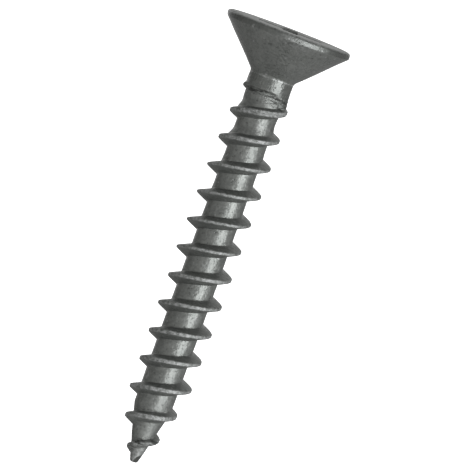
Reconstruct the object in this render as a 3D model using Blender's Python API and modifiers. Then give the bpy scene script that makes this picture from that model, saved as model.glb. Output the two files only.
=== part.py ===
"""Countersunk wood screw with a coarse single-start thread and a cross recess.

One piece of cold-formed steel. The origin is at the centre of the flat head
face, +Z points out of the head and the point of the screw is at -Z. Lengths
are in metres, and depths are counted down from the head face.
"""

import math

import bmesh
import bpy

MM = 0.001

# Overall sizes
OVERALL_LENGTH = 29.6 * MM
HEAD_DIAMETER = 8.35 * MM
CONE_HALF_ANGLE = math.radians(45)
RIM_HEIGHT = 0.35 * MM
RIM_ROUND = 0.28 * MM

# Neck, core and point
NECK_DIAMETER = 2.9 * MM
NECK_LENGTH = 0.95 * MM
NECK_TAPER = 1.6 * MM
CORE_DIAMETER = 2.4 * MM
POINT_LENGTH = 3.7 * MM
TIP_DIAMETER = 0.46 * MM
TIP_ROUND = 0.16 * MM

# Thread: right-hand, one start
THREAD_DIAMETER = 4.0 * MM
PITCH = 1.9 * MM
FLANK_ANGLE = math.radians(22.5)
CREST_WIDTH = 0.1 * MM
BLUNT_SHARE = 0.6           # widest crest where the thread is low, as a share of its height there
THREAD_START = 0.1 * MM     # below the end of the head cone
START_SINK = 0.06 * MM      # the first crest lies this far under the neck's skin
RISE_LENGTH = 6.4 * MM      # over which the crest comes up to the full diameter
FALL_LENGTH = 5.0 * MM      # over which the crest comes down to the tip
FALL_POWER = 1.6
END_GAP = 0.2 * MM          # from the last section of thread to the tip
ROOT_SINK = 0.12 * MM       # the ridge's foot lies this far under the core's skin

# Cross recess
RECESS_SPAN = 4.4 * MM
RECESS_FLOOR_SPAN = 1.9 * MM
RECESS_DEPTH = 2.3 * MM
WING_WIDTH = 1.0 * MM
WING_FLOOR_WIDTH = 0.7 * MM
WING_CORNER = 0.18 * MM
HUB_DIAMETER = 1.9 * MM
HUB_FLOOR_DIAMETER = 1.2 * MM
HUB_TIP_DEPTH = 0.35 * MM
CUTTER_RISE = 0.3 * MM      # the cutters stand this far out of the head face

# Facets
TURN_STEPS = 36
ARC_STEPS = 4
CUTTER_STEPS = 24
MERGE_DISTANCE = 0.001 * MM
SHARP_ANGLE = math.radians(25)

HEAD_RADIUS = HEAD_DIAMETER / 2
NECK_RADIUS = NECK_DIAMETER / 2
CORE_RADIUS = CORE_DIAMETER / 2
TIP_RADIUS = TIP_DIAMETER / 2
THREAD_RADIUS = THREAD_DIAMETER / 2
HEAD_HEIGHT = RIM_HEIGHT + (HEAD_RADIUS - NECK_RADIUS) / math.tan(CONE_HALF_ANGLE)
NECK_END = HEAD_HEIGHT + NECK_LENGTH
CORE_TOP = NECK_END + NECK_TAPER
CORE_END = OVERALL_LENGTH - POINT_LENGTH
THREAD_TOP = HEAD_HEIGHT + THREAD_START
THREAD_END = OVERALL_LENGTH - END_GAP


def clear_scene():
    """Remove whatever the scene holds."""
    for old in list(bpy.data.objects):
        bpy.data.objects.remove(old, do_unlink=True)


def new_collection(name):
    """An empty collection in the scene."""
    collection = bpy.data.collections.new(name)
    bpy.context.scene.collection.children.link(collection)
    return collection


def steel():
    """Dark, thinly coated steel with a satin face."""
    material = bpy.data.materials.new("dark_steel")
    material.use_nodes = True
    shader = material.node_tree.nodes["Principled BSDF"]
    shader.inputs["Base Color"].default_value = (0.16, 0.17, 0.16, 1.0)
    shader.inputs["Metallic"].default_value = 0.9
    shader.inputs["Roughness"].default_value = 0.42
    return material


def arc(centre_radius, centre_depth, size, first, last):
    """Points of a rounding in the (radius, depth) plane, with 0 degrees outwards and 90 down."""
    points = []
    for step in range(ARC_STEPS + 1):
        turn = math.radians(first + (last - first) * step / ARC_STEPS)
        radius = centre_radius + size * math.cos(turn)
        depth = centre_depth + size * math.sin(turn)
        points.append((radius, depth))
    return points


def turned(name, outline, steps, collection):
    """Turn an outline of (radius, depth) points, listed top to bottom, about the Z axis."""
    mesh = bpy.data.meshes.new(name)
    points = [(radius, 0.0, -depth) for radius, depth in outline]
    edges = [(index, index + 1) for index in range(len(points) - 1)]
    mesh.from_pydata(points, edges, [])
    piece = bpy.data.objects.new(name, mesh)
    collection.objects.link(piece)
    turn = piece.modifiers.new("turn", "SCREW")
    turn.angle = math.tau
    turn.steps = steps
    turn.render_steps = steps
    turn.use_merge_vertices = True
    turn.merge_threshold = MERGE_DISTANCE
    return piece


def core_radius(depth):
    """Radius of the shank at a depth, without its thread."""
    if depth < NECK_END:
        return NECK_RADIUS
    if depth < CORE_TOP:
        share = (depth - NECK_END) / NECK_TAPER
        return NECK_RADIUS + (CORE_RADIUS - NECK_RADIUS) * share
    if depth < CORE_END:
        return CORE_RADIUS
    share = min((depth - CORE_END) / POINT_LENGTH, 1.0)
    return CORE_RADIUS + (TIP_RADIUS - CORE_RADIUS) * share


def body_outline():
    """Head face, rim, cone, neck, core and point, from the top centre to the tip."""
    outline = [(0.0, 0.0)]
    outline += arc(HEAD_RADIUS - RIM_ROUND, RIM_ROUND, RIM_ROUND, -90, 0)
    outline.append((HEAD_RADIUS, RIM_HEIGHT))
    outline.append((NECK_RADIUS, HEAD_HEIGHT))
    outline.append((NECK_RADIUS, NECK_END))
    outline.append((CORE_RADIUS, CORE_TOP))
    outline.append((CORE_RADIUS, CORE_END))
    round_top = OVERALL_LENGTH - TIP_ROUND
    outline += arc(core_radius(round_top) - TIP_ROUND, round_top, TIP_ROUND, 0, 90)
    outline.append((0.0, OVERALL_LENGTH))
    return outline


def crest_radius(depth):
    """Radius of the thread's crest: it comes up below the neck and down along the point."""
    if depth < THREAD_TOP + RISE_LENGTH:
        first = NECK_RADIUS - START_SINK
        share = (depth - THREAD_TOP) / RISE_LENGTH
        return first + (THREAD_RADIUS - first) * math.sin(share * math.pi / 2)
    fall_top = THREAD_END - FALL_LENGTH
    if depth < fall_top:
        return THREAD_RADIUS
    last = core_radius(THREAD_END) - ROOT_SINK / 2
    share = (depth - fall_top) / FALL_LENGTH
    return THREAD_RADIUS + (last - THREAD_RADIUS) * share ** FALL_POWER


def half_crest_width(depth):
    """The crest is blunter where the thread isn't rolled up to its full height."""
    crest = crest_radius(depth)
    missing = THREAD_RADIUS - crest
    standing = max(crest - core_radius(depth), 0.0)
    return CREST_WIDTH / 2 + min(missing, standing * BLUNT_SHARE) * math.tan(FLANK_ANGLE)


def thread_section(depth):
    """Corners of the ridge as (radius, depth), from its upper foot round to its lower foot."""
    crest = crest_radius(depth)
    half_crest = half_crest_width(depth)
    foot = max(core_radius(depth + PITCH / 4) - ROOT_SINK, MERGE_DISTANCE)
    half_foot = half_crest + (crest - foot) * math.tan(FLANK_ANGLE)
    return [
        (foot, depth - half_foot),
        (crest, depth - half_crest),
        (crest, depth + half_crest),
        (foot, depth + half_foot),
    ]


def thread_ridge(collection):
    """Loft the ridge along its helix. Its section changes at both ends, so no sweep makes it."""
    model = bmesh.new()
    rings = []
    steps = int((THREAD_END - THREAD_TOP) / PITCH * TURN_STEPS)
    for step in range(steps + 1):
        turn = -math.tau * step / TURN_STEPS
        depth = THREAD_TOP + PITCH * step / TURN_STEPS
        ring = []
        for radius, corner_depth in thread_section(depth):
            place = (radius * math.cos(turn), radius * math.sin(turn), -corner_depth)
            ring.append(model.verts.new(place))
        rings.append(ring)
    for ring, following in zip(rings, rings[1:]):
        for corner in range(len(ring)):
            beside = (corner + 1) % len(ring)
            model.faces.new((ring[corner], ring[beside], following[beside], following[corner]))
    model.faces.new(rings[0])
    model.faces.new(rings[-1])
    bmesh.ops.recalc_face_normals(model, faces=model.faces)
    mesh = bpy.data.meshes.new("thread_ridge")
    model.to_mesh(mesh)
    model.free()
    ridge = bpy.data.objects.new("thread_ridge", mesh)
    collection.objects.link(ridge)
    return ridge


def recess_wings(name, turn, collection):
    """Tapered bar across the head, a pair of wings of the cross recess."""
    model = bmesh.new()
    bmesh.ops.create_cube(model, size=1.0)
    slope = (RECESS_SPAN - RECESS_FLOOR_SPAN) / RECESS_DEPTH
    thin = (WING_WIDTH - WING_FLOOR_WIDTH) / RECESS_DEPTH
    for corner in model.verts:
        height = CUTTER_RISE if corner.co.z > 0 else -RECESS_DEPTH
        corner.co.x *= RECESS_SPAN + slope * height
        corner.co.y *= WING_WIDTH + thin * height
        corner.co.z = height
    mesh = bpy.data.meshes.new(name)
    model.to_mesh(mesh)
    model.free()
    wings = bpy.data.objects.new(name, mesh)
    wings.rotation_euler.z = turn
    collection.objects.link(wings)
    rounding = wings.modifiers.new("round_corners", "BEVEL")
    rounding.width = WING_CORNER
    rounding.segments = 2
    rounding.limit_method = "ANGLE"
    return wings


def recess_hub(collection):
    """Middle of the cross recess, with the cone that the driver's nose goes into."""
    spread = (HUB_DIAMETER - HUB_FLOOR_DIAMETER) / RECESS_DEPTH / 2
    outline = [
        (0.0, -CUTTER_RISE),
        (HUB_DIAMETER / 2 + spread * CUTTER_RISE, -CUTTER_RISE),
        (HUB_FLOOR_DIAMETER / 2, RECESS_DEPTH),
        (0.0, RECESS_DEPTH + HUB_TIP_DEPTH),
    ]
    return turned("recess_hub", outline, CUTTER_STEPS, collection)


def combine(piece, other, operation):
    """Join the other piece to this one or cut it away, and hide it as a guide."""
    boolean = piece.modifiers.new(other.name, "BOOLEAN")
    boolean.operation = operation
    boolean.solver = "EXACT"
    boolean.object = other
    other.hide_render = True
    other.display_type = "WIRE"


def apply_modifiers(piece):
    """Keep the finished mesh in place of the modifiers, shaded smooth with crisp edges."""
    graph = bpy.context.evaluated_depsgraph_get()
    mesh = bpy.data.meshes.new_from_object(piece.evaluated_get(graph))
    mesh.shade_smooth()
    mesh.set_sharp_from_angle(angle=SHARP_ANGLE)
    piece.modifiers.clear()
    piece.data = mesh


def build():
    clear_scene()
    screw_parts = new_collection("wood_screw")
    cutters = new_collection("cutters")
    screw = turned("wood_screw", body_outline(), TURN_STEPS, screw_parts)
    combine(screw, thread_ridge(cutters), "UNION")
    combine(screw, recess_wings("recess_wings_x", 0.0, cutters), "DIFFERENCE")
    combine(screw, recess_wings("recess_wings_y", math.pi / 2, cutters), "DIFFERENCE")
    combine(screw, recess_hub(cutters), "DIFFERENCE")
    screw.data.materials.append(steel())
    apply_modifiers(screw)


build()
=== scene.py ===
"""A countersunk wood screw: rolled thread, cold-formed head, thin dark coating, on a white floor.

Lengths are in metres. Depths are counted down from the head face, and turns
about the screw's axis are in radians from +X, anticlockwise seen from above.
Left is towards -X and front towards -Y. A ramp is given as (start, run), and
a hump as (height, middle, reach).
"""

import math

import bmesh
import bpy
from mathutils import Matrix, Vector, noise


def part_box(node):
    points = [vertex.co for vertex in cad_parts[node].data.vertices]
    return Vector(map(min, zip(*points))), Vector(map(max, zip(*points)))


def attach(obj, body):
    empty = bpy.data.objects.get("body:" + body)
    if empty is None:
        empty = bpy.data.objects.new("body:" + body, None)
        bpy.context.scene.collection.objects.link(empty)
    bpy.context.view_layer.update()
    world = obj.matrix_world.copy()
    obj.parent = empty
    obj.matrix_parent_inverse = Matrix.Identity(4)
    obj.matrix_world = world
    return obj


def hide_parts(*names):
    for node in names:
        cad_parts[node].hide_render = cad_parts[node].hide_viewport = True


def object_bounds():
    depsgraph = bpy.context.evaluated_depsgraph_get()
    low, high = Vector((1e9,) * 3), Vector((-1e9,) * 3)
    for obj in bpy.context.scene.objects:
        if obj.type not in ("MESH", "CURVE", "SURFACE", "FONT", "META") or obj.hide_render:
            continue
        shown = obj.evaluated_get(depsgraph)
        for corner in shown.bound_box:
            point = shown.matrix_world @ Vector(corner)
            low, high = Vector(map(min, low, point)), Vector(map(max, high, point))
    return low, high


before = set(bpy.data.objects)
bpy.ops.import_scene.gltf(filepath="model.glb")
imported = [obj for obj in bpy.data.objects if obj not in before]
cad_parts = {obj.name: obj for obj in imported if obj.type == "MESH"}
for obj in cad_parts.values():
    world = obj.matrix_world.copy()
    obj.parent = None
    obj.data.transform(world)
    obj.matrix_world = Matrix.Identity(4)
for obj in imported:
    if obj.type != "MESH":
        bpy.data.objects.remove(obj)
cad_low, cad_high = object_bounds()

MM = 0.001

# Sizes that the frame gives
SCREW_LOW, SCREW_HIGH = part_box("wood_screw")
HEAD_RADIUS = (SCREW_HIGH[0] - SCREW_LOW[0]) / 2
TIP_EXTRA = 0.08 * MM       # the tip was drawn out this far past the nominal length
LENGTH = SCREW_HIGH[2] - SCREW_LOW[2] + TIP_EXTRA

# Head
RIM_HEIGHT = 0.42 * MM
RIM_ROUND = 0.2 * MM        # towards the head face
RIM_CORNER = 0.06 * MM      # towards the cone
RIM_FLARE = (0.09 * MM, -0.18 * MM, 0.2 * MM)   # hump over height: squeezed out on the left
FLARE_SIDE = (0.6, 0.35)    # ramp towards -X, as shares of the head's radius
HEAD_LEAN = 0.105 * MM      # the head was upset this far off the shank's axis
LEAN_END = 1.06             # depth where the lean ends, as a share of the head's height
LEAN_POWER = 5
FACE_TILT = 0.0166          # rise of the head face towards -X for each unit of width
TILT_DEPTH = 1.3 * MM
NECK_RADIUS = 1.493 * MM
NECK_FILLET = 0.3 * MM
CONE_HALF_ANGLE = 44.5      # degrees
HEAD_HEIGHT = RIM_HEIGHT + (HEAD_RADIUS - NECK_RADIUS) / math.tan(math.radians(CONE_HALF_ANGLE))

# Core and point
CORE_RADIUS = 1.235 * MM
CORE_GAIN = 0.02 * MM       # the core is this much thicker in its lower half
LOWER_HALF = (14.5 * MM, 2.0 * MM)
CORE_END = 25.9 * MM
POINT_SLOPE = 0.265         # loss of radius for each unit of depth along the point
LEAST_RADIUS = 0.05 * MM
TIP_FLAT = 0.12 * MM        # radius of the tip inside its rounding
TIP_ROUND = 0.16 * MM

# Edge of the neck, where the rolled shank begins
FIRST_ROOT = 1.3 * MM       # the root's radius just under the neck
ROOT_SETTLE = 1.3 * MM      # from the neck's edge to the full depth of the root
NECK_EDGE = 4.18 * MM
EDGE_LAG = 0.15 * MM        # how far below the crest line the edge runs
EDGE_STEP = 1.15 * MM       # how far it steps back once a turn
STEP_TURNS = 0.2
EDGE_SOFTNESS = 0.3 * MM
EDGE_GROOVE = (0.07 * MM, 0.04 * MM, 0.07 * MM)     # hump below the edge
GROOVE_LEVEL = 0.75         # how much of the groove stays, where the noise is 0
GROOVE_CONTRAST = 1.5
GROOVE_PATCH = 0.6 * MM
ROOT_SWELLING = (0.07 * MM, 4.9 * MM, 0.7 * MM)     # on the left

# Height of the thread
PITCH = 1.9 * MM
CREST_DEPTH = 3.188 * MM    # where the crest line would cross +X first
THREAD_START = 3.98 * MM
START_TURNS = 0.08          # the crest fades in over this on both sides of its start
START_DROP = 0.3 * MM
CREST_RADIUS = 2.04 * MM
FIRST_CREST = 1.56 * MM
RISE_TURNS = 1.1
FALL_TOP = 24.2 * MM        # from here to the tip the thread stands lower and lower
FALL_SLOPE = 0.105
HIGH_CREST = 0.05 * MM      # extra height on the left in the upper half
HIGH_FROM = (8.0 * MM, 2.0 * MM)
HIGH_TO = (15.5 * MM, 2.0 * MM)
HIGH_REVERSAL = 2.2         # below the upper half it turns into a loss
LOW_CREST = 0.1 * MM        # loss of height on the left in the lower half
LOW_FROM = (19.5 * MM, 4.0 * MM)
LOW_TO = (25.4 * MM, -1.6 * MM)
RIGHT_LOSS = 0.03 * MM
POINT_DENT = (-0.13 * MM, 25.9 * MM, 0.5 * MM)
POINT_SWELLING = (0.1 * MM, 27.2 * MM, 0.8 * MM)
CREST_SWAYS = (
    (0.027 * MM, 26.2 * MM, 0.9 * MM),
    (0.06 * MM, 28.6 * MM, 0.6 * MM),
    (-0.07 * MM, 4.15 * MM, 0.4 * MM),
)
WAVE_HEIGHT = 0.012 * MM    # small unevenness of the crest
WAVE_SIZE = 0.35 * MM
NICK_DEPTH = 0.12 * MM
NICK_SIZE = 0.5 * MM
NICK_LEVEL = 0.45

# Section of the thread
FLANK_SLOPE = 2.48
FRONT_STEEPENING = 0.55     # of the flank towards the head, where it faces the front
CREST_HALF = 0.04 * MM
CREST_ROUND = 0.055 * MM
CREST_GAIN = 0.02 * MM      # the crest is this much wider, to each side, in the lower half
GAIN_END = (28.2 * MM, -1.0 * MM)
FRONT_LAND = 0.03 * MM      # width added above the crest at the front
LEFT_LAND = (0.055 * MM, 7.9 * MM, 0.7 * MM)
ROOT_FILLET = 0.08 * MM
BLUNT_SHARE = 0.5           # widening where the crest is low, as a share of what is missing
FIRST_BLUNT = 0.9           # added to it at the start of the thread
BLUNT_MIDDLE = 0.55         # it is this at the sides, less at the back and more in front
BLUNT_SWING = 0.45
POINT_SHARPENING = 0.6      # how much of it is gone along the point
SHARP_FROM = (25.5 * MM, 1.2 * MM)
FIRST_BULGE = 0.34 * MM     # metal heaped above the first turns of the thread
BULGE_TURNS = 1.5
BULGE_START = (0.35, 0.6)   # in turns
BULGE_RISE = (-0.95 * MM, 0.75 * MM)    # towards the crest, from above it
LEFT_BULGE = (0.2 * MM, 7.3 * MM, 1.2 * MM)

# Torn and lumpy metal
EDGE_TEAR = 0.15 * MM       # below the neck's edge
EDGE_TEAR_REACH = 0.4 * MM
RAGGED_SKIN = (1.0, 4.5 * MM, 0.35 * MM)
RAGGED_TURN = -0.5
RAGGED_REACH = 0.5
FIRST_TEAR = (0.35, 5.6 * MM, 0.9 * MM)
FIRST_TEAR_LINE = (1.0, 0.0, 0.2 * MM)
LAST_TEAR = 0.9
LAST_TEAR_FROM = (27.2 * MM, 0.6 * MM)
LAST_TEAR_LINE = (1.0, -0.05 * MM, 0.32 * MM)
TEAR_HEIGHT = 0.04 * MM
TEAR_SIZE = 0.17 * MM
LUMP_HEIGHT = 0.01 * MM
LUMP_SIZE = 0.36 * MM
NECK_LUMPS = (0.006 * MM, 4.0 * MM, 0.8 * MM)

# Finish of the shank: the wear layer is 1 on bright metal, flank 1 on a duller skin, and the
# coating layer 1 on dark coating. On the head and the nipped tip the wear layer also carries
# painted highlights, and the coating layer carries painted shade.
WORN_DROP = 0.12 * MM       # how far below the crest the wear ends
WORN_HEIGHT = 0.2 * MM      # height of the thread from which its crest is fully worn
FLANK_HEIGHT = 0.25 * MM
TIP_WEAR = 0.6
TIP_WEAR_FROM = (28.2 * MM, 0.8 * MM)
POINT_SKIN = 0.9
POINT_SKIN_FROM = (24.0 * MM, 2.5 * MM)
TIP_SKIN_FROM = (28.2 * MM, 0.6 * MM)
NECK_COATING = 0.35
COATING_END = 0.2 * MM

# Finish of the head
CONE_COATING = 0.18
CONE_WEAR = (0.55, -1.42, 0.28)             # hump over the turn
CONE_WEAR_END = (0.95 * MM, -0.5 * MM)
JUNCTION_DEPTH = HEAD_HEIGHT + 0.1 * MM     # ring where the cone meets the neck
JUNCTION_REACH = 0.05 * MM
# Lighter ring where the cone meets the neck: rubbed metal and a painted highlight line
JUNCTION_WEAR_AND_HIGHLIGHT = 0.8
FACE_EDGE = 0.06 * MM
FACE_RING = 1.2 * RIM_ROUND                 # width of the ring along the face's edge that is rubbed and painted with sheen
# Painted sheen on the head face, with rubbing along its edge and round the recess mouth
FACE_WEAR_AND_SHEEN = 0.5
FACE_SKIN = 0.9
# Painted highlight on the rim where the key light reflects, and a lighter patch at the front
RIM_HIGHLIGHT_PATCHES = ((0.15, -1.19, 0.2), (0.45, -1.5, 0.14))    # humps over the turn
RIM_COATING = 0.5
RIM_END_SHADE = 0.25      # painted shade, added at the rim's left and right ends
LEFT_END = (0.6, 0.3)       # ramps of the share of the radius towards -X and +X
RIGHT_END = (0.5, 0.3)

# Tip, bent a little and nipped off flat on one side when the blank was parted
TIP_BEND = 0.03 * MM
BEND_FROM = (27.8 * MM, 1.0 * MM)
NIP_FACING = (0.62, -0.62, -0.48)
NIP_DEPTH = 29.28 * MM
NIP_DISTANCE = 0.3 * MM     # from the axis at that depth to the flat
NIP_TOP = 28.6 * MM

# Cross recess
WING_REACH = 2.2 * MM
WING_FLOOR_REACH = 0.95 * MM
WING_HALF = 0.5 * MM
WING_FLOOR_HALF = 0.35 * MM
WING_CORNER = 0.2 * MM
WING_FILLET = 0.3 * MM
RECESS_DEPTH = 2.3 * MM
RECESS_TIP = 2.62 * MM
MOUTH_ROUND = 0.05 * MM
MOUTH_WEAR_AND_SHEEN_DEPTH = 0.6 * MOUTH_ROUND
MOUTH_WEAR_AND_SHEEN_RADIUS = WING_REACH + 2 * MOUTH_ROUND
POCKET_DROP = 0.12 * MM     # the small cross at the foot of the recess, above its tip
POCKET_REACH = 0.5 * MM
POCKET_HALF = 0.3 * MM
POCKET_CORNER = 0.15 * MM
POCKET_FILLET = 0.12 * MM

# Facets
TURN_STEPS = 144
PITCH_ROWS = 40
EVEN_ROWS = 0.35            # the rest of the rows crowd towards the crest
GRID_TOP = 3.3 * MM
GRID_BOTTOM = 29.3 * MM
TRIM_MERGE = 0.004 * MM
TRIM_LEVEL = 0.006 * MM
CONE_ROWS = 12
FILLET_STEPS = 5            # of the neck's fillet
RIM_CORNER_STEPS = 4
RIM_STEPS = 8
NOSE_STEPS = 5
NOSE_FIRST, NOSE_LAST = 12, 84      # degrees of the tip's rounding
CORNER_STEPS = 6            # of each rounding of the recess's outline
RECESS_ROWS = 6
MOUTH_STEPS = 4
SHARP_ANGLE = 38.0          # degrees

# Colours of the metal and of its coating; the rubbed steel also serves as painted highlight and the
# thick coating as painted shade
COATING_DARK = (0.1, 0.105, 0.0985, 1.0)
COATING_LIGHT = (0.152, 0.157, 0.148, 1.0)
COATING_THICK_AND_SHADE = (0.06, 0.063, 0.059, 1.0)
RUBBED_STEEL_AND_SHEEN = (0.27, 0.274, 0.27, 1.0)
SPECK_GREY = (0.3, 0.303, 0.3, 1.0)
CRACK_BLACK = (0.035, 0.037, 0.034, 1.0)
METAL_SHARE = 0.72
GLANCING_GREY = (0.7, 0.7, 0.7, 1.0)
RELIEF = 0.02 * MM

# Patterns of the skin: sizes as repeats in a metre, and noise ranges that become 0 to 1
CLOUD_SCALE = 900.0
LUMP_SCALE = 4600.0
GRAIN_SCALE = 9000.0
LINE_SCALE = 14000.0
SPECK_SCALE = 3400.0
PIT_SCALE = 5200.0
CRACK_SCALE = 9000.0
DIE_STRETCH = (0.18, 0.18, 1.0)     # draws lines and cracks out round the shank
TONE_RANGE = (0.37, 0.63)
RUBBED_RANGE = (0.45, 0.8)
SPECK_RANGE = (0.76, 0.84)
PIT_RANGE = (0.36, 0.26)
CRACK_RANGE = (0.52, 0.38)
SPECK_STRENGTH = 0.4
PIT_STRENGTH = 0.45
BASE_ROUGHNESS = 0.23

# Studio
FLOOR_HALF = 3.0
FLOOR_PAINTS = ((0.84, 0.84, 0.84, 1.0), (0.88, 0.88, 0.88, 1.0))
WHITE = (1.0, 1.0, 1.0, 1.0)
LAMP_COLOUR = (0.985, 1.0, 1.03)
BRIGHT_SIDE = (0.28, -0.94, -0.45)
TENT_GLOW = 0.6
BRIGHT_GLOW = 0.33
BACK_GLOW = 0.95
BACK_FROM, BACK_TO = -0.7, -1.0
SEEN_WHITE = 1.2

# Camera
LENS = 800.0                # millimetres, as is the sensor
SENSOR = 36.0
VIEW_WIDTH = 30.35 * MM     # across the frame, at the screw
VIEW_CENTRE = (1.22 * MM, 0.0, -13.61 * MM)
CAMERA_RISE = 3.5           # degrees
CAMERA_ROLL = 19.9          # degrees
CLIP_NEAR, CLIP_FAR = 0.01, 20.0


def smooth_step(value):
    """Soft step from 0 to 1, level at both ends."""
    value = min(max(value, 0.0), 1.0)
    return value * value * (3.0 - 2.0 * value)


def ramp(value, shape):
    """0 before the ramp's start and 1 past its run, or the reverse where the run is negative."""
    start, run = shape
    return smooth_step((value - start) / run)


def hump(value, shape):
    """A smooth swelling, or a dent where its height is negative."""
    height, middle, reach = shape
    return height * math.exp(-((value - middle) / reach) ** 2)


def blend_up(first, second, reach):
    """The larger of two radii, with a fillet where they meet."""
    gap = max(reach - abs(first - second), 0.0)
    return max(first, second) + gap * gap / (4.0 * reach)


def rough(place, size, seed):
    """Smooth noise from -1 to 1 with lumps of about the size given."""
    return noise.noise(place / size + Vector((seed, -seed, 2.0 * seed)))


def left_share(turn):
    """1 on the left of the screw and 0 on its right."""
    return 0.5 - 0.5 * math.cos(turn)


def on_core(turn, depth=0.0):
    """Place on the core's skin."""
    return Vector((math.cos(turn), math.sin(turn), 0.0)) * CORE_RADIUS + Vector((0.0, 0.0, -depth))


def neck_edge(turn):
    """Depth where the neck gives way to the rolled shank: along the thread, then a step back."""
    travel = (-turn / math.tau) % 1.0
    helix = CREST_DEPTH + EDGE_LAG + PITCH * travel
    step_back = NECK_EDGE + EDGE_STEP * (1.0 - smooth_step(travel / STEP_TURNS))
    return max(helix, step_back)


def core_radius(depth):
    """Radius of the core and, below it, of the point."""
    taper = POINT_SLOPE * max(depth - CORE_END, 0.0)
    return CORE_RADIUS + CORE_GAIN * ramp(depth, LOWER_HALF) - taper


def root_radius(turn, depth):
    """Radius of the shank between the ridges, with the neck's edge and the groove below it."""
    past_edge = depth - neck_edge(turn)
    radius = core_radius(depth) + NECK_RADIUS - CORE_RADIUS
    radius -= (NECK_RADIUS - FIRST_ROOT) * smooth_step(past_edge / EDGE_SOFTNESS + 0.5)
    radius -= (FIRST_ROOT - CORE_RADIUS) * smooth_step(past_edge / ROOT_SETTLE)
    radius += left_share(turn) * hump(depth, ROOT_SWELLING)
    patches = rough(on_core(turn), GROOVE_PATCH, seed=21.0)
    broken = smooth_step(GROOVE_LEVEL + GROOVE_CONTRAST * patches)
    return radius - broken * hump(past_edge, EDGE_GROOVE)


def crest_radius(turn, depth):
    """Radius of the crest: it rises below the neck, falls along the point and stands off centre."""
    turns = (depth - THREAD_START) / PITCH
    if turns < -START_TURNS:
        return 0.0
    low_start = math.exp(-max(turns, 0.0) / RISE_TURNS)
    radius = CREST_RADIUS - (CREST_RADIUS - FIRST_CREST) * low_start
    radius -= CORE_RADIUS - core_radius(depth)
    radius -= FALL_SLOPE * max(depth - FALL_TOP, 0.0)
    radius -= START_DROP * (1.0 - ramp(turns, (-START_TURNS, 2.0 * START_TURNS)))
    upper = ramp(depth, HIGH_FROM) - HIGH_REVERSAL * ramp(depth, HIGH_TO)
    lower = ramp(depth, LOW_FROM) * ramp(depth, LOW_TO)
    left = left_share(turn)
    radius += (HIGH_CREST * upper - LOW_CREST * lower) * left
    radius += hump(depth, POINT_DENT) + hump(depth, POINT_SWELLING)
    return radius - RIGHT_LOSS * (1.0 - left)


def from_crest(turn, depth):
    """How far below the nearest crest line a place on the shank is."""
    sway = sum(hump(depth, shape) for shape in CREST_SWAYS)
    line = (depth - CREST_DEPTH - sway * math.cos(turn)) / PITCH + turn / math.tau
    return (line - round(line)) * PITCH


def shank_point(turn, depth):
    """Radius of the threaded shank, and how near a worn crest and up a flank the place is."""
    offset = from_crest(turn, depth)
    crest_depth = depth - offset
    root = root_radius(turn, depth)
    crest = crest_radius(turn, crest_depth)
    if crest <= 0.0:
        return root, 0.0, 0.0
    left = left_share(turn)
    place = on_core(turn, crest_depth)
    crest += WAVE_HEIGHT * rough(place, WAVE_SIZE, seed=3.0)
    crest -= NICK_DEPTH * max(rough(place, NICK_SIZE, seed=11.0) - NICK_LEVEL, 0.0)
    turns = max(crest_depth - THREAD_START, 0.0) / PITCH
    missing = CREST_RADIUS - crest
    standing = max(crest - root_radius(turn, crest_depth), 0.0)
    blunt = BLUNT_SHARE + FIRST_BLUNT * math.exp(-turns)
    blunt *= BLUNT_MIDDLE - BLUNT_SWING * math.sin(turn)
    blunt *= 1.0 - POINT_SHARPENING * ramp(crest_depth, SHARP_FROM)
    half = CREST_HALF + min(missing, standing) * blunt / FLANK_SLOPE
    half += CREST_GAIN * ramp(crest_depth, LOWER_HALF) * ramp(crest_depth, GAIN_END)
    slope = FLANK_SLOPE
    if offset < 0.0:
        bulge = FIRST_BULGE * math.exp(-turns / BULGE_TURNS) + left * hump(crest_depth, LEFT_BULGE)
        root += bulge * ramp(offset, BULGE_RISE) * ramp(turns, BULGE_START)
        front = max(-math.sin(turn), 0.0) ** 2
        half += left * hump(crest_depth, LEFT_LAND) + FRONT_LAND * front
        slope += FRONT_STEEPENING * front
    away = max(abs(offset) - half, 0.0)
    ridge = crest - slope * (math.hypot(away, CREST_ROUND) - CREST_ROUND)
    radius = blend_up(root, ridge, ROOT_FILLET)
    worn = smooth_step(1.0 - (crest - ridge) / WORN_DROP) * smooth_step(standing / WORN_HEIGHT)
    return radius, worn, smooth_step((radius - root) / FLANK_HEIGHT)


def torn_share(turn, depth):
    """How rough the metal is, from 0 to 1: most where the thread starts and at its last turn."""
    line = from_crest(turn, depth)
    edge = 1.0 - abs(depth - neck_edge(turn) - EDGE_TEAR) / EDGE_TEAR_REACH
    ragged = hump(depth, RAGGED_SKIN) * hump(math.cos(turn - RAGGED_TURN), (1.0, 1.0, RAGGED_REACH))
    first_turn = hump(line, FIRST_TEAR_LINE) * hump(depth, FIRST_TEAR)
    last_turn = ramp(depth, LAST_TEAR_FROM) * hump(line, LAST_TEAR_LINE)
    return max(smooth_step(edge), ragged, first_turn, LAST_TEAR * last_turn)


def shank_corner(model, layers, turn, depth):
    """One corner of the threaded shank, with what its finish needs to know."""
    wear_and_sheen, torn, flank, coat_and_shade = layers
    radius, worn, raised = shank_point(turn, depth)
    tear = torn_share(turn, depth)
    place = Vector((radius * math.cos(turn), radius * math.sin(turn), -depth))
    radius += tear * TEAR_HEIGHT * rough(place, TEAR_SIZE, seed=5.0)
    radius += (LUMP_HEIGHT + hump(depth, NECK_LUMPS)) * rough(place, LUMP_SIZE, seed=17.0)
    radius = max(radius, LEAST_RADIUS)
    corner = model.verts.new((radius * math.cos(turn), radius * math.sin(turn), -depth))
    point_skin = max(POINT_SKIN * ramp(depth, POINT_SKIN_FROM), ramp(depth, TIP_SKIN_FROM))
    corner[wear_and_sheen] = max(worn, TIP_WEAR * ramp(depth, TIP_WEAR_FROM))
    corner[torn] = tear
    corner[flank] = max(raised, point_skin)
    corner[coat_and_shade] = NECK_COATING * ramp(neck_edge(turn) - depth, (0.0, COATING_END))
    return corner


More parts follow.
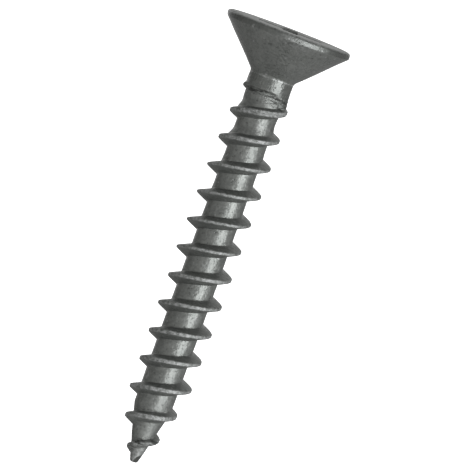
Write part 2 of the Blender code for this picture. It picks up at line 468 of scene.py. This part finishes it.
def shank_grid(model, layers):
    """Cover the shank with a band of faces that winds down along the thread, and trim its ends."""
    offsets = []
    for row in range(PITCH_ROWS):
        spot = 2.0 * row / PITCH_ROWS - 1.0
        offsets.append(0.5 * PITCH * (EVEN_ROWS * spot + (1.0 - EVEN_ROWS) * spot ** 3))
    columns = []
    last = int((LENGTH + PITCH - CREST_DEPTH) / PITCH * TURN_STEPS)
    for step in range(-TURN_STEPS, last + 1):
        turn = -math.tau * step / TURN_STEPS
        crest_line = CREST_DEPTH + PITCH * step / TURN_STEPS
        depths = [crest_line + offset for offset in offsets]
        columns.append([shank_corner(model, layers, turn, depth) for depth in depths])
    for step, (here, beside) in enumerate(zip(columns, columns[1:])):
        for row in range(PITCH_ROWS - 1):
            model.faces.new((here[row], here[row + 1], beside[row + 1], beside[row]))
        if step + 1 + TURN_STEPS < len(columns):
            below, below_beside = columns[step + TURN_STEPS], columns[step + 1 + TURN_STEPS]
            model.faces.new((here[-1], below[0], below_beside[0], beside[-1]))
    for depth, outwards in ((GRID_TOP, 1.0), (GRID_BOTTOM, -1.0)):
        bmesh.ops.bisect_plane(
            model,
            geom=list(model.verts) + list(model.edges) + list(model.faces),
            dist=TRIM_MERGE,
            plane_co=(0.0, 0.0, -depth),
            plane_no=(0.0, 0.0, outwards),
            clear_outer=True,
        )


def open_edges(model, depth):
    """Edges of the open loop at a depth."""
    loop = []
    for edge in model.edges:
        level = all(abs(corner.co.z + depth) < TRIM_LEVEL for corner in edge.verts)
        if edge.is_boundary and level:
            loop.append(edge)
    return loop


def carry_on(model, loop, outline):
    """Draw an open loop on through the (radius, depth) points of an outline."""
    for radius, depth in outline:
        made = bmesh.ops.extrude_edge_only(model, edges=loop)["geom"]
        for corner in [item for item in made if isinstance(item, bmesh.types.BMVert)]:
            turn = math.atan2(corner.co.y, corner.co.x)
            corner.co = (radius * math.cos(turn), radius * math.sin(turn), -depth)
        edges = [item for item in made if isinstance(item, bmesh.types.BMEdge)]
        loop = [edge for edge in edges if edge.is_boundary]
    return loop


def arc(centre_radius, centre_depth, size, first, last, steps):
    """Points of a rounding as (radius, depth), from one angle to another in degrees.

    0 degrees is outwards and 90 is down.
    """
    points = []
    for step in range(steps + 1):
        turn = math.radians(first + (last - first) * step / steps)
        points.append((centre_radius + size * math.cos(turn), centre_depth + size * math.sin(turn)))
    return points


def head_outline():
    """Neck fillet, cone, rim and the edge of the head face, from the neck up."""
    bend = math.tan(math.radians(CONE_HALF_ANGLE / 2))
    fillet_depth = HEAD_HEIGHT + NECK_FILLET * bend
    fillet_radius = NECK_RADIUS + NECK_FILLET
    turns = (180, 180 + CONE_HALF_ANGLE, FILLET_STEPS)
    outline = arc(fillet_radius, fillet_depth, NECK_FILLET, *turns)
    corner_depth = RIM_HEIGHT - RIM_CORNER * bend
    turns = (CONE_HALF_ANGLE, 0, RIM_CORNER_STEPS)
    corner = arc(HEAD_RADIUS - RIM_CORNER, corner_depth, RIM_CORNER, *turns)
    cone_low, cone_high = outline[-1], corner[0]
    for step in range(1, CONE_ROWS):
        share = step / CONE_ROWS
        radius = cone_low[0] + (cone_high[0] - cone_low[0]) * share
        outline.append((radius, cone_low[1] + (cone_high[1] - cone_low[1]) * share))
    outline += corner
    outline += arc(HEAD_RADIUS - RIM_ROUND, RIM_ROUND, RIM_ROUND, 0, -90, RIM_STEPS)
    return outline


def cross_outline(reach, half, corner, fillet):
    """Points of a cross of four rounded wings, anticlockwise."""
    quarter = []
    for step in range(CORNER_STEPS + 1):
        turn = math.radians(-90 + 180 * step / CORNER_STEPS)
        side = math.copysign(1.0, step - CORNER_STEPS / 2)
        if 2 * step == CORNER_STEPS:
            quarter.append((reach, 0.0))
            continue
        along = reach - corner + corner * math.cos(turn)
        quarter.append((along, side * (half - corner) + corner * math.sin(turn)))
    inner = half + fillet
    for step in range(CORNER_STEPS + 1):
        turn = math.radians(-90 - 90 * step / CORNER_STEPS)
        quarter.append((inner + fillet * math.cos(turn), inner + fillet * math.sin(turn)))
    points = []
    for wing in range(4):
        spin = Matrix.Rotation(wing * math.pi / 2, 2)
        points += [spin @ Vector(point) for point in quarter]
    return points


def recess_levels():
    """(depth, growth of the outline) of each level of the recess, from its rounded mouth down."""
    levels = []
    for step in range(MOUTH_STEPS + 1):
        turn = math.radians(90 * step / MOUTH_STEPS)
        levels.append((MOUTH_ROUND * (1.0 - math.cos(turn)), MOUTH_ROUND * (1.0 - math.sin(turn))))
    for step in range(1, RECESS_ROWS + 1):
        depth = MOUTH_ROUND + (RECESS_DEPTH - MOUTH_ROUND) * step / RECESS_ROWS
        levels.append((depth, 0.0))
    return levels


def cut_recess(model, face_loop):
    """Fill the head face round a cross-shaped mouth, and line the recess down to its tip."""
    rings = []
    for depth, growth in recess_levels():
        share = depth / RECESS_DEPTH
        reach = WING_REACH + (WING_FLOOR_REACH - WING_REACH) * share + growth
        half = WING_HALF + (WING_FLOOR_HALF - WING_HALF) * share + growth
        outline = cross_outline(reach, half, WING_CORNER + growth, WING_FILLET - growth)
        rings.append([model.verts.new((point.x, point.y, -depth)) for point in outline])
    pocket = cross_outline(POCKET_REACH, POCKET_HALF, POCKET_CORNER, POCKET_FILLET)
    foot = -RECESS_DEPTH - POCKET_DROP
    rings.append([model.verts.new((point.x, point.y, foot)) for point in pocket])
    count = len(pocket)
    for upper, lower in zip(rings, rings[1:]):
        for index in range(count):
            beside = (index + 1) % count
            model.faces.new((upper[index], upper[beside], lower[beside], lower[index]))
    tip = model.verts.new((0.0, 0.0, -RECESS_TIP))
    mouth = []
    for index in range(count):
        beside = (index + 1) % count
        model.faces.new((rings[-1][index], rings[-1][beside], tip))
        mouth.append(model.edges.get((rings[0][index], rings[0][beside])))
    bmesh.ops.triangle_fill(model, use_beauty=True, use_dissolve=False, edges=face_loop + mouth)


def finish_head(model, layers):
    """Wear and painted highlights along the rim, over the head face, round the recess and where the
    cone meets the neck, and the coating, with painted shade at the rim's ends.
    """
    wear_and_sheen, _, flank, coat_and_shade = layers
    for corner in model.verts:
        depth = -corner.co.z
        radius = math.hypot(corner.co.x, corner.co.y)
        turn = math.atan2(corner.co.y, corner.co.x)
        if depth < GRID_TOP and radius > NECK_RADIUS:
            corner[coat_and_shade] = CONE_COATING
            corner[wear_and_sheen] = hump(turn, CONE_WEAR) * ramp(depth, CONE_WEAR_END)
        if abs(depth - JUNCTION_DEPTH) < JUNCTION_REACH:
            # painted highlight line, with rubbing, where the cone meets the neck
            corner[wear_and_sheen] = JUNCTION_WEAR_AND_HIGHLIGHT
        elif FACE_EDGE < depth < RIM_HEIGHT and radius > HEAD_RADIUS - RIM_ROUND:
            # painted highlight where the key light reflects on the rim, and a lighter patch at the
            # front
            corner[wear_and_sheen] = sum(hump(turn, shape) for shape in RIM_HIGHLIGHT_PATCHES)
            corner[flank] = 1.0
            # painted shade at the rim's left and right ends
            ends = ramp(-math.cos(turn), LEFT_END) + ramp(math.cos(turn), RIGHT_END)
            corner[coat_and_shade] = RIM_COATING + RIM_END_SHADE * ends
        # painted sheen and rubbing on the face's outer ring
        elif depth < FACE_EDGE and radius > HEAD_RADIUS - FACE_RING:
            corner[wear_and_sheen] = FACE_WEAR_AND_SHEEN
            corner[flank] = FACE_SKIN
            corner[coat_and_shade] = 0.0
        # painted sheen and rubbing round the recess mouth
        elif depth < MOUTH_WEAR_AND_SHEEN_DEPTH and radius < MOUTH_WEAR_AND_SHEEN_RADIUS:
            corner[wear_and_sheen] = FACE_WEAR_AND_SHEEN
            corner[flank] = FACE_SKIN


def lean_head(model):
    """Squeeze the rim out on the left, tilt the head face and shift the head off the axis."""
    for corner in model.verts:
        left_edge = ramp(-corner.co.x / HEAD_RADIUS, FLARE_SIDE)
        corner.co.x -= left_edge * hump(corner.co.z, RIM_FLARE)
        share = -corner.co.z / (LEAN_END * HEAD_HEIGHT)
        corner.co.z -= FACE_TILT * corner.co.x * smooth_step(1.0 + corner.co.z / TILT_DEPTH)
        corner.co.x += HEAD_LEAN * max(1.0 - share ** LEAN_POWER, 0.0)


def nip_tip(model, layers):
    """Bend the tip a little, flatten the side where it was nipped off, and paint the flat dark as
    painted shade.
    """
    wear_and_sheen, _, _, coat_and_shade = layers
    facing = Vector(NIP_FACING).normalized()
    limit = facing.dot(Vector((0.0, 0.0, -NIP_DEPTH))) + NIP_DISTANCE
    for corner in model.verts:
        corner.co.x += TIP_BEND * ramp(-corner.co.z, BEND_FROM)
        over = facing.dot(corner.co) - limit
        if corner.co.z < -NIP_TOP and over > 0.0:
            corner.co -= facing * over
            # the nipped flat gets no rubbing and the darkest coating colour, as painted shade
            corner[wear_and_sheen] = 0.0
            corner[coat_and_shade] = 1.0


def make_screw():
    """The whole screw as one closed mesh."""
    model = bmesh.new()
    finishes = ("wear_and_sheen", "torn", "flank", "coat_and_shade")
    for name in finishes:
        model.verts.layers.float.new(name)
    layers = [model.verts.layers.float[name] for name in finishes]
    shank_grid(model, layers)
    face_loop = carry_on(model, open_edges(model, GRID_TOP), head_outline())
    nose = arc(TIP_FLAT, LENGTH - TIP_ROUND, TIP_ROUND, NOSE_FIRST, NOSE_LAST, NOSE_STEPS)
    tip_loop = carry_on(model, open_edges(model, GRID_BOTTOM), nose)
    bmesh.ops.holes_fill(model, edges=tip_loop, sides=0)
    cut_recess(model, face_loop)
    finish_head(model, layers)
    lean_head(model)
    nip_tip(model, layers)
    bmesh.ops.recalc_face_normals(model, faces=model.faces)
    mesh = bpy.data.meshes.new("screw")
    model.to_mesh(mesh)
    model.free()
    mesh.shade_smooth()
    mesh.set_sharp_from_angle(angle=math.radians(SHARP_ANGLE))
    screw = bpy.data.objects.new("screw", mesh)
    bpy.context.scene.collection.objects.link(screw)
    return screw


class Amount:
    """A number that varies over a surface. Sums and products of amounts add their nodes."""

    def __init__(self, recipe, socket):
        self.recipe = recipe
        self.socket = socket

    def maths(self, operation, first, second):
        return self.recipe.add("ShaderNodeMath", {"operation": operation}, {0: first, 1: second})

    def __add__(self, other):
        return self.maths("ADD", self, other)

    def __sub__(self, other):
        return self.maths("SUBTRACT", self, other)

    def __rsub__(self, other):
        return self.maths("SUBTRACT", other, self)

    def __mul__(self, other):
        return self.maths("MULTIPLY", self, other)

    __radd__ = __add__
    __rmul__ = __mul__


class Recipe:
    """The nodes of a material or of the surroundings, and the shader that they end in."""

    def __init__(self, owner, shader):
        owner.use_nodes = True
        self.nodes = owner.node_tree.nodes
        self.links = owner.node_tree.links
        self.shader = self.nodes[shader]

    def add(self, kind, settings=None, values=None, output=0):
        """Add a node: its settings first, then a value or a link for each socket named."""
        node = self.nodes.new(kind)
        for name, value in (settings or {}).items():
            setattr(node, name, value)
        for socket, value in (values or {}).items():
            self.feed(node.inputs[socket], value)
        return Amount(self, node.outputs[output])

    def feed(self, socket, value):
        if isinstance(value, Amount):
            self.links.new(value.socket, socket)
        else:
            socket.default_value = value

    def stored(self, name):
        """A value stored on the mesh."""
        return self.add("ShaderNodeAttribute", {"attribute_name": name}, {}, "Fac")

    def noise(self, place, scale, detail=2.0, roughness=0.5):
        values = {"Vector": place, "Scale": scale, "Detail": detail, "Roughness": roughness}
        return self.add("ShaderNodeTexNoise", {}, values, "Fac")

    def between(self, value, low, high):
        """Bring a value from the range low..high to 0..1, with soft ends."""
        values = {0: value, 1: low, 2: high, 3: 0.0, 4: 1.0}
        return self.add("ShaderNodeMapRange", {"interpolation_type": "SMOOTHSTEP"}, values)

    def mix(self, share, first, last):
        """Mix two colours."""
        values = {0: share, 6: first, 7: last}
        return self.add("ShaderNodeMix", {"data_type": "RGBA"}, values, 2)

    def set(self, **values):
        """Set or link inputs of the shader, with _ for a space in their names."""
        for name, value in values.items():
            self.feed(self.shader.inputs[name.replace("_", " ")], value)


def coated_steel():
    """Dark thin coating on cold-formed steel, rubbed brighter along the crests and the rim, with
    painted highlights on the rim, the head face and the ring where the cone meets the neck, and
    painted shade at the rim's ends and on the nipped flat of the tip.
    """
    steel = bpy.data.materials.new("coated_steel")
    recipe = Recipe(steel, "Principled BSDF")
    place = recipe.add("ShaderNodeTexCoord", {}, {}, "Object")
    stretch = {0: place, 1: DIE_STRETCH}
    drawn = recipe.add("ShaderNodeVectorMath", {"operation": "MULTIPLY"}, stretch)
    wear_and_sheen, torn = recipe.stored("wear_and_sheen"), recipe.stored("torn")
    flank, coat_and_shade = recipe.stored("flank"), recipe.stored("coat_and_shade")

    # Unevenness, from the widest to the finest, and lines left by the rolling dies
    clouds = recipe.noise(place, CLOUD_SCALE, detail=3.0)
    lumps = recipe.noise(place, LUMP_SCALE)
    grain = recipe.noise(place, GRAIN_SCALE, detail=4.0, roughness=0.65)
    lines = recipe.noise(drawn, LINE_SCALE)
    specks = recipe.between(recipe.noise(place, SPECK_SCALE, detail=0.0), *SPECK_RANGE)
    pits = recipe.between(recipe.noise(place, PIT_SCALE, detail=1.0), *PIT_RANGE)
    cracks = torn * recipe.between(recipe.noise(drawn, CRACK_SCALE), *CRACK_RANGE)
    rubbed_and_sheen = wear_and_sheen * recipe.between(grain * 0.6 + lumps * 0.6, *RUBBED_RANGE)

    tone = clouds * 0.25 + lumps * 0.35 + grain * 0.25 + lines * 0.15
    colour = recipe.mix(recipe.between(tone, *TONE_RANGE), COATING_DARK, COATING_LIGHT)
    # Dark coating where it lies thick, and painted shade at the rim's left and right ends and on
    # the nipped flat of the tip
    colour = recipe.mix(coat_and_shade, colour, COATING_THICK_AND_SHADE)
    # Rubbed bright metal along the crests, tip and rim, and painted highlights on the rim where the
    # key light reflects, on the head face and on the ring where the cone meets the neck
    colour = recipe.mix(rubbed_and_sheen, colour, RUBBED_STEEL_AND_SHEEN)
    colour = recipe.mix(specks * SPECK_STRENGTH, colour, SPECK_GREY)
    colour = recipe.mix(cracks + pits * PIT_STRENGTH, colour, CRACK_BLACK)

    height = grain * 0.7 + lines * 0.3 + lumps * 1.7 + clouds * 0.8
    height = height + torn * grain * 2.0 - cracks * 1.5 - pits * 0.5
    relief = {"Strength": 1.0, "Distance": RELIEF, "Height": height}
    bump = recipe.add("ShaderNodeBump", {}, relief)

    dullness = BASE_ROUGHNESS + grain * 0.1 + lumps * 0.14
    dullness = dullness + wear_and_sheen * 0.12 + flank * 0.14 + torn * 0.1 - coat_and_shade * 0.28
    recipe.set(Base_Color=colour, Metallic=METAL_SHARE, Roughness=dullness, Normal=bump)
    recipe.set(Specular_Tint=GLANCING_GREY)
    return steel


def white_floor():
    """Matt white sweep, lit to the white of the surroundings."""
    sweep = bpy.data.materials.new("white_floor")
    recipe = Recipe(sweep, "Principled BSDF")
    place = recipe.add("ShaderNodeTexCoord", {}, {}, "Object")
    paint = recipe.mix(recipe.noise(place, scale=40.0), *FLOOR_PAINTS)
    recipe.set(Base_Color=paint, Roughness=0.9, Emission_Color=WHITE, Emission_Strength=1.0)
    return sweep


def make_floor():
    """Plain floor at the screw's tip, which adds no light or shadow of its own."""
    corners = [(-1, -1), (1, -1), (1, 1), (-1, 1)]
    mesh = bpy.data.meshes.new("floor")
    places = [(x * FLOOR_HALF, y * FLOOR_HALF, -LENGTH) for x, y in corners]
    mesh.from_pydata(places, [], [(0, 1, 2, 3)])
    mesh.materials.append(white_floor())
    floor = bpy.data.objects.new("floor", mesh)
    floor.visible_diffuse = False
    floor.visible_glossy = False
    floor.visible_shadow = False
    bpy.context.scene.collection.objects.link(floor)


def softbox(name, azimuth, elevation, distance, width, height, watts):
    """A rectangular lamp that faces the screw. Azimuth 0 is in front, and 90 on the right."""
    lamp = bpy.data.lights.new(name, "AREA")
    lamp.shape = "RECTANGLE"
    lamp.size = width
    lamp.size_y = height
    lamp.energy = watts
    lamp.color = LAMP_COLOUR
    box = bpy.data.objects.new(name, lamp)
    turn, rise = math.radians(azimuth), math.radians(elevation)
    level = math.cos(rise)
    out = Vector((math.sin(turn) * level, -math.cos(turn) * level, math.sin(rise)))
    middle = (cad_low + cad_high) / 2
    box.location = middle + out * distance
    box.rotation_euler = out.to_track_quat("Z", "Y").to_euler()
    bpy.context.scene.collection.objects.link(box)


def white_tent():
    """Soft light from all round, brightest from the front right, and plain white to look at."""
    tent = bpy.data.worlds.new("white_tent")
    recipe = Recipe(tent, "Background")
    towards = recipe.add("ShaderNodeTexCoord", {}, {}, "Generated")
    sides = {0: towards, 1: BRIGHT_SIDE}
    facing = recipe.add("ShaderNodeVectorMath", {"operation": "DOT_PRODUCT"}, sides, "Value")
    seen = recipe.add("ShaderNodeLightPath", {}, {}, "Is Camera Ray")
    behind = recipe.between(facing, BACK_FROM, BACK_TO)
    glow = facing * BRIGHT_GLOW + behind * BACK_GLOW + TENT_GLOW
    recipe.set(Color=WHITE, Strength=glow + seen * (SEEN_WHITE - glow))
    return tent


def light_studio():
    """The tent, and one tall softbox to the right of the camera."""
    bpy.context.scene.world = white_tent()
    bpy.context.scene.view_settings.view_transform = "Standard"
    softbox(
        "key_light",
        azimuth=44.0,
        elevation=-2.5,
        distance=0.3,
        width=0.21,
        height=0.42,
        watts=1.58,
    )


def set_camera():
    """Long lens, slightly above the screw, rolled so that the screw leans to the right."""
    camera = bpy.data.cameras.new("camera")
    camera.lens = LENS
    camera.sensor_width = SENSOR
    camera.clip_start = CLIP_NEAR
    camera.clip_end = CLIP_FAR
    body = bpy.data.objects.new("camera", camera)
    rise, roll = math.radians(CAMERA_RISE), math.radians(CAMERA_ROLL)
    back = Vector((0.0, -math.cos(rise), math.sin(rise)))
    right = Vector((1.0, 0.0, 0.0))
    up = back.cross(right)
    rolled_right = right * math.cos(roll) + up * math.sin(roll)
    rolled_up = up * math.cos(roll) - right * math.sin(roll)
    axes = Matrix((rolled_right, rolled_up, back)).transposed()
    place = Vector(VIEW_CENTRE) + back * (VIEW_WIDTH * LENS / SENSOR)
    body.matrix_world = Matrix.Translation(place) @ axes.to_4x4()
    bpy.context.scene.collection.objects.link(body)
    bpy.context.scene.camera = body


screw = make_screw()
screw.data.materials.append(coated_steel())
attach(screw, "root")
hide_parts("wood_screw")
make_floor()
light_studio()
set_camera()
